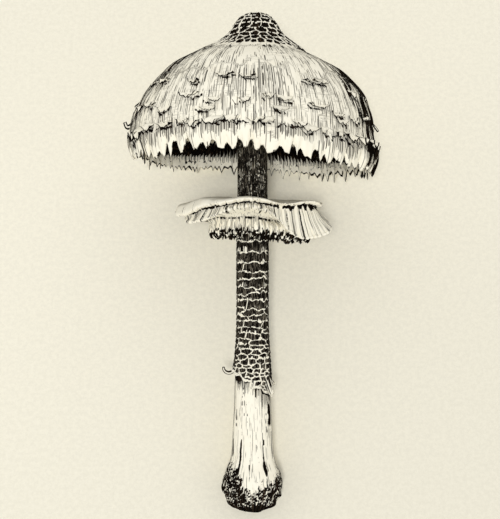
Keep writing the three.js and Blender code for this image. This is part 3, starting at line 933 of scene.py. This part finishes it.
def build_ring():
    """The ring: a thick plate with a lip, a fluted fan that folds down and a pleated frill below."""
    section = smooth(RING_SECTION, 116)
    places = np.linspace(0, len(RING_SECTION) - 1, len(section))
    r, z, frill, fan, lip, index, angle = turned_grid(RING_COLUMNS, *section.T, places)
    frill, fan, lip = clamp(frill), clamp(fan), clamp(lip)

    def at(place, width):
        return bell(index - place, width)

    around = polar(10, angle, 0)
    drift = 0.9 * noise(around * 0.5, 71)
    pleat = np.cos(PLEATS * angle + 4 * drift)
    rib = np.cos(RIBS * angle + 5 * drift)
    crease = noise(polar(30, angle, (r + z) / 14), 78)
    on_fan = ease((index - JOIN) / 2.5) * ease((GROOVE + 0.6 - index) / 1.5)
    fringe = torn_edge(angle, 120, 2.0, 1.8, 17)
    ragged = torn_edge(angle, 120, 0.6, 1.3, 19)
    scallop = 0.5 * rib * at(FAN_EDGE, 1.6)
    r = r + frill * (0.5 * pleat + 0.6 * noise(around * 1.8, 72)) + scallop * (0.4 + fan_at(angle))
    z = z - at(FRILL_FOOT, 0.9) * fringe - at(LIP_EDGE - 0.6, 0.9) * ragged
    points = ring_point(angle, r, z, frill, fan, lip)
    relief = 0.3 * rib * on_fan * clamp((r - 22) / 6) + 0.4 * rough(points / 6, 74) * (r > 14)
    points = points + relief[..., None] * normals_of(points)

    curl = ease(0.7 + 1.6 * noise(polar(42, angle, z / 0.9), 75))
    furrow_shade = ease(-0.3 - 1.2 * pleat) * ease((index - 3) / 1.5) * ease((JOIN - index) / 1.5)
    broken = ease(0.6 + 1.4 * noise(around * 2 + (z / 5)[..., None], 87))
    flutes = ease((0.24 - abs(crease)) / 0.16) * on_fan * broken
    lines = ease(-0.45 - 1.2 * pleat) * ease(index - 4.5) * ease(JOIN - index)
    lines *= ease(0.8 + noise(around * 3, 79))
    shade_near_lip = ease((index - 10.5) / 3) * on_fan * (1 - 0.6 * fan_at(angle))
    on_lip = ease(index - GROOVE - 1.5) * ease((LIP_EDGE + 3 - index) / 2)
    nicks = ease((0.13 - abs(crease)) / 0.08) * on_lip * ease(-0.1 + 2 * noise(around * 2.4, 89))
    groove = at(GROOVE + 0.4 + 0.5 * noise(around * 3, 80), 1.0) * ease(1.25 + noise(around * 2, 76))
    # Painted shade: the shadow in the groove under the lip and on the flutes near it, the fold where the fan
    # meets the frill, the furrows of the pleats, and the ring's underside next to the stem.
    dark = most(
        0.95 * groove,
        0.75 * at(JOIN, 0.45) * ease(0.7 + noise(around * 3, 77)),
        at(FRILL_FOOT + 0.1, 1.9) * (0.4 + 0.75 * curl),
        0.75 * ease((3.6 - index) / 0.8),
        (0.4 + 0.12 * shade_near_lip) * flutes,
        0.56 * lines,
        0.6 * nicks,
    )
    # Streaks are denser as painted shade in the pleats' furrows, at the fold and under the lip.
    streak = 0.34 + 0.3 * furrow_shade + 0.2 * flutes + 0.35 * at(JOIN, 0.8) + 0.3 * shade_near_lip - 0.04 * on_fan
    streak += 0.1 * frill - 0.16 * (index > GROOVE + 2)
    looks = dark, clamp(streak), grain_of(angle, r + z, 40, 5)
    return turned_piece("ring", points, looks, flesh("ring_tissue"), ("ring",), poles=False)


# ---- Stem ----

STEM_COLUMNS = 216
STEM_CORE = [
    (6.0, 0.9), (10.4, 3.2), (13.4, 6.8), (BULB_RADIUS, BULB_HEIGHT), (14.6, 15.8), (13.2, 20.6),
    (11.2, 25.4), (10.3, 31.5), (9.8, 41.0), (9.2, 53.0), (8.9, HEM_HEIGHT), (8.3, HEM_HEIGHT + 8),
    (7.6, HEM_HEIGHT + 19), (7.0, HEM_HEIGHT + 30), (6.9, 200), (7.0, STEM_TOP),
]
SHEATH_OUTSIDE = [
    (9.75, HEM_HEIGHT), (9.35, HEM_HEIGHT + 4), (8.75, HEM_HEIGHT + 11), (8.15, HEM_HEIGHT + 19),
    (STEM_RADIUS + 0.1, HEM_HEIGHT + 30), (STEM_RADIUS, HEM_HEIGHT + 60), (STEM_RADIUS - 0.1, 200),
    (STEM_RADIUS, STEM_TOP - 1),
]
SHEATH_RADIUS = 8.4  # about its middle
SHEATH_THICKNESS = 0.55
PLATES_FROM, PLATES_TO = 55.0, 150  # heights between which the sheath is cracked into plates
RING_FOOT = 136  # above this height the sheath is plain
CRACKS = 52


def hem_shift(angle, z):
    """How far the sheath's points near its torn hem lie above their even height."""
    above = z - HEM_HEIGHT
    tears = torn_edge(angle, 13, 1.5, 1.3, 23)
    return -HEM_SLANT * np.cos(angle) * bell(above, 7) - bell(above, 3) * tears


def plate_size(z):
    """The width and the height of the sheath's plates at a height: small at the hem, and larger above it."""
    return 3.1 + 42 * clamp((z - 68) / 72) ** 1.6, 2.0 + 3.4 * clamp((z - 66) / 72) ** 1.2


def snakeskin(angle, z):
    """How much each point of the sheath belongs to a dark plate between pale cracks, and how far down the
    plate it is, from -0.5 to 0.5. Higher up the plates reach all round in torn bands."""
    draw = np.random.default_rng(7)
    plates, height = [], PLATES_FROM
    while height < PLATES_TO:
        width, step = plate_size(height)
        count = max(2, round(TURN * SHEATH_RADIUS / width))
        offset = draw.uniform(0, 1)
        for n in range(count):
            turned = (n + offset + draw.uniform(-0.3, 0.3)) * TURN / count
            plates.append((turned, height + draw.uniform(-0.25, 0.25) * step, width, step))
        height += step
    here = polar(SHEATH_RADIUS, angle, z)
    bend = 0.5 + 0.8 * clamp((z - 66) / 72)
    bent_z = z + bend * noise(here / 1.9, 81) + 0.4 * noise(here / 0.8, 82)
    bent_a = angle + 0.07 * noise(here / 2.2, 83)
    ahead, _, which = plate_shares(bent_a, bent_z, SHEATH_RADIUS, plates)
    middles = np.array(plates)[which, 1]
    return ease((ahead - 0.1) / 0.28), (middles - bent_z) / plate_size(z)[1]


def build_sheath():
    """The scaly sheath round the stem, from its torn hem up, as one closed surface."""
    outside = smooth(SHEATH_OUTSIDE, 600)
    rows = np.concatenate([np.arange(0, 80, 0.31), np.arange(80, lengths(outside)[-1], 1.1)])
    r_out, z_out = walk(outside, rows)
    z_in = np.linspace(z_out[-1], z_out[0] + 0.15, 24)
    r_in = np.interp(z_in, z_out, r_out) - SHEATH_THICKNESS
    r, z, outer, angle = turned_grid(STEM_COLUMNS, *sides_of_sheet([r_out, z_out], [r_in, z_in]))
    z_now = z + hem_shift(angle, z)
    here = polar(SHEATH_RADIUS, angle, z)
    plates, fall = snakeskin(angle, z_now)
    above_ring = ease((z - RING_FOOT) / 4)

    # The plates' lower edges fray where they are worn, and above the ring the sheath is a plain dark scurf,
    # partly its own brown and partly painted shade of the cap, darker towards the cap.
    ticks = ease(noise(polar(20, angle, z / 5), 86) / 0.3) * ease(0.5 + 1.2 * noise(here / 5, 88))
    frayed = 0.6 * ticks * ease((fall - 0.02) / 0.35) * ease((z - 68) / 12)
    # Along both sides, where the sheath is seen edge-on, it is darkened with painted shade.
    sides = ease((abs(np.cos(angle)) - 0.93) / 0.04) * ease((z - 66) / 4)
    worn = most(plates * (0.85 - frayed), 0.8 * sides)
    scurf_and_shade = 0.61 + 0.1 * ease((z - 170) / 15) + 0.08 * noise(here / 6, 90)
    pale_hem = ease((HEM_HEIGHT + 1.3 - z) / 0.6)
    dark = (worn + (scurf_and_shade - worn) * above_ring) * outer * (1 - pale_hem)

    shelf = (0.3 + 0.3 * clamp(fall + 0.5)) * most(plates, above_ring) * (1 - above_ring)
    furrow = 0.12 * noise(polar(11, angle, z / 25), 84)
    flare = 0.5 * ease((HEM_HEIGHT + 1.4 - z) / 1.4) * (1 + noise(polar(2.4, angle, 0), 85))
    points = polar(r + outer * (shelf + furrow) + flare, angle, z_now)
    looks = dark, 0.25 * outer, grain_of(angle, z, 22, 4)
    material = flesh("stem_sheath", thread=(0.42, 0.37, 0.28), fibre=0.85)
    return turned_piece("stem_sheath", points, looks, material, ("stem",), poles=False)


# The deepest cracks of the bare stem: angle, height of the lower end, length and half width.
GASHES = [
    (-2.15, 20.5, 17, 0.85), (-1.39, 30, 13, 0.3), (-1.05, 20, 9, 1.2), (-2.8, 28, 9, 1.3),
    (-1.7, 17, 7, 0.4),
]


def creases(angle, z):
    """How much each point of the bare stem lies in one of its long, broken cracks."""
    draw = np.random.default_rng(29)
    bent = angle + 0.04 * noise(polar(3, angle, z / 5), 96)
    found = 0
    for _ in range(CRACKS):
        turned, foot = draw.uniform(0, TURN), draw.uniform(16, 58)
        length, width = draw.uniform(4, 19), draw.uniform(0.22, 0.6)
        along = (z - foot) / length
        aside = angle_between(bent, turned) * 9.6 / width
        found = most(found, bell(aside) * ease(along / 0.15) * ease((1 - along) / 0.3))
    found *= ease(0.75 + 1.5 * noise(polar(5, angle, z / 1.3), 97))
    broken = ease(1.2 + 1.5 * noise(polar(5, angle, z / 3), 99))
    for turned, foot, length, width in GASHES:
        along = clamp((z - foot) / length)
        wide = width * (0.15 + np.sqrt(4 * along * (1 - along)))
        found = most(found, bell(angle_between(bent, turned) * 10 / wide) * broken)
    return found * ((z > 14) & (z < 70))


def build_stem():
    """The stem's bare flesh below the hem, with its bulb, and its core inside the sheath."""
    core = smooth(STEM_CORE, 600)
    at = lengths(core)
    fine = at[np.searchsorted(core[:, 1], HEM_HEIGHT + 9)]
    rows = np.concatenate([np.arange(0, fine, 0.5), np.linspace(fine, at[-1], 24)])
    r, z, angle = turned_grid(STEM_COLUMNS, *walk(core, rows))
    here = polar(r, angle, z)
    soil = rough(here / 3.2, 91, 3)
    lumpy = clamp((BULB_HEIGHT + 12 - z) / 12)
    lump = 0.35 * (np.sin(5 * angle + z) + np.sin(3 * angle - 0.6 * z)) + 0.55 * soil
    lump += 0.25 * rough(here / 1.5, 92, 2)
    ridges = 0.16 * noise(polar(7, angle, z / 30), 93)
    points = polar(r + lumpy * lump + (1 - lumpy) * ridges, angle, z)

    top_of_soil = 20 + 9 * hump(angle, math.pi + 0.35, 0.75) + 6 * hump(angle, 0.1, 0.6)
    top_of_soil -= 3 * hump(angle, FRONT, 0.45)
    worms = 1 - abs(noise(here / 1.05 + 0.7 * soil[..., None], 94)) * 2.2
    cover = ease((top_of_soil - z + 3 * soil) / 7)
    foot = ease((5.5 - z + soil) / 3)
    clumps = 0.16 * noise(here / 4, 98)
    # Painted shade: the shadow under the hem and the dark line just beneath it, the shaded right side with a
    # thin line at its edge, and denser streaks along both sides where the stem is seen edge-on.
    hem = HEM_HEIGHT + hem_shift(angle, HEM_HEIGHT)
    shadow_under_hem = ease((z - hem + 9) / 8) * (1 - 0.6 * hump(angle, FRONT, 0.35))
    painted_flank_shade = 1.1 * hump(angle, -0.5, 0.2) * ease((z - 41) / 5)
    painted_flank_shade = most(painted_flank_shade, hump(angle, -0.36, 0.06) * ease((z - 22) / 6))
    dark = most(
        ease((0.52 + 0.34 * cover - worms + clumps + 0.55 * foot) / 0.35) * cover,
        0.9 * painted_flank_shade * clamp(1.05 + 1.2 * noise(here / 2.2, 95)),
        0.75 * creases(angle, z),
        0.85 * shadow_under_hem * (0.2 + 0.8 * hump(angle, math.pi + 0.45, 0.6)),
        0.8 * ease((z - hem + 1.1) / 0.5),
    )
    streak = 0.38 + 0.62 * ease((abs(np.cos(angle)) - 0.94) / 0.04) + 0.8 * shadow_under_hem + 0.35 * cover
    looks = dark, clamp(streak), grain_of(angle, z, 15, 13)
    material = flesh("stem_flesh", lumpy=0.15, brush=0.6)
    return turned_piece("stem_flesh", points, looks, material, ("stem",))


# Strips of the sheath that have come loose at its hem: path, angle, width, thickness, outline and faces.
LEFT_CURL = [(8.4, 72.8), (9.5, 70.2), (11.4, 69.2), (13.2, 69.5), (14.3, 70.7), (14.5, 71.9)]
CURLS = [
    (LEFT_CURL, math.pi, 3.6, 1.9, 0.95, True),
    ([(8.9, 68.0), (9.6, 65.6), (10.2, 63.6), (10.8, 62.6), (11.2, 63.0)], FRONT, 2.8),
    ([(9.0, 67.0), (9.9, 64.4), (10.7, 62.0), (11.3, 60.2), (11.5, 59.2)], -0.56, 6.0, 0.8, 0.95),
    ([(8.6, 67.0), (10.0, 64.8), (11.0, 63.4), (11.4, 64.2)], 0.0, 2.8),
]


def build_curls():
    patches = Patches()
    for curl in CURLS:
        add_tongue(patches, *curl)
    return patches.piece("sheath_curls", flesh("curl_skin"), "stem_skin")


# ---- Stage ----

FILM_HIGH = 36  # millimetres
LAMP_SIZE = 0.18  # metres
LAMP_POWER = 6.8  # watts
WORLD_STRENGTH = 0.72
FLOOR = (0.905, 0.862, 0.720)
FLOOR_REACH = 30  # metres from its middle to its edges


def view_axes():
    """The camera's right, up and backwards directions: it looks at the side of the stem that faces up."""
    right = Vector((1, 0, 0))
    up = Vector((0, math.cos(LEAN), math.sin(LEAN)))
    return right, up, right.cross(up)


def view_middle():
    return Vector(placed((VIEW_SIDE, 0, VIEW_HEIGHT)))


def add_camera():
    camera = bpy.data.cameras.new("camera")
    camera.sensor_fit = "VERTICAL"
    camera.sensor_height = FILM_HIGH
    camera.lens = FILM_HIGH * VIEW_DISTANCE / VIEW_SPAN
    right, up, back = view_axes()
    matrix = Matrix((right, up, back)).transposed().to_4x4()
    matrix.translation = view_middle() + back * VIEW_DISTANCE / 1000
    holder = linked("camera", camera)
    holder.matrix_world = matrix
    bpy.context.scene.camera = holder


def add_lamp():
    """A small lamp far behind the camera and a little to its left."""
    lamp = bpy.data.lights.new("lamp", "AREA")
    lamp.shape = "DISK"
    lamp.size = LAMP_SIZE
    lamp.energy = LAMP_POWER
    right, up, back = view_axes()
    away = 1.3 * back - 0.08 * right - 0.07 * up
    holder = linked("lamp", lamp)
    holder.location = view_middle() + away
    holder.rotation_euler = away.to_track_quat("Z", "Y").to_euler()


def add_world():
    world = bpy.data.worlds.new("studio")
    world.use_nodes = True
    background = world.node_tree.nodes["Background"].inputs
    background["Color"].default_value = (1, 1, 1, 1)
    background["Strength"].default_value = WORLD_STRENGTH
    bpy.context.scene.world = world


def add_floor():
    """A wide floor of rough, pale paper, with painted shade that makes it a little darker on the lower right.
    """
    tree = Tree("floor")

    def tone(share):
        return tuple(c * share for c in FLOOR)

    tooth = tree.noise(tree.place, 420, 3.0)
    slant = tree.vector("DOT_PRODUCT", "Value", tree.place, (0.5, -1.0, 0.0))
    painted_slope_shade = tree.step(slant, -0.15, 0.25)
    hollows = tree.mix(painted_slope_shade, tone(0.94), tone(0.84))
    colour = tree.mix(tree.step(tooth, 0.35, 0.65), tree.mix(painted_slope_shade, FLOOR, tone(0.89)), hollows)
    normal = tree.bump(tooth, 0.0004, 0.5)
    mesh = bpy.data.meshes.new("floor")
    corners = [(x * FLOOR_REACH, y * FLOOR_REACH, 0) for x, y in ((-1, -1), (1, -1), (1, 1), (-1, 1))]
    mesh.from_pydata(corners, [], [(0, 1, 2, 3)])
    mesh.materials.append(tree.finished(colour, normal, roughness=0.95, specular=0.1))
    linked("floor", mesh)


add_camera()
build_cap()
build_scales()
build_gills()
build_ring()
build_sheath()
build_stem()
build_curls()
add_world()
add_lamp()
add_floor()
bpy.context.scene.view_settings.view_transform = "Standard"
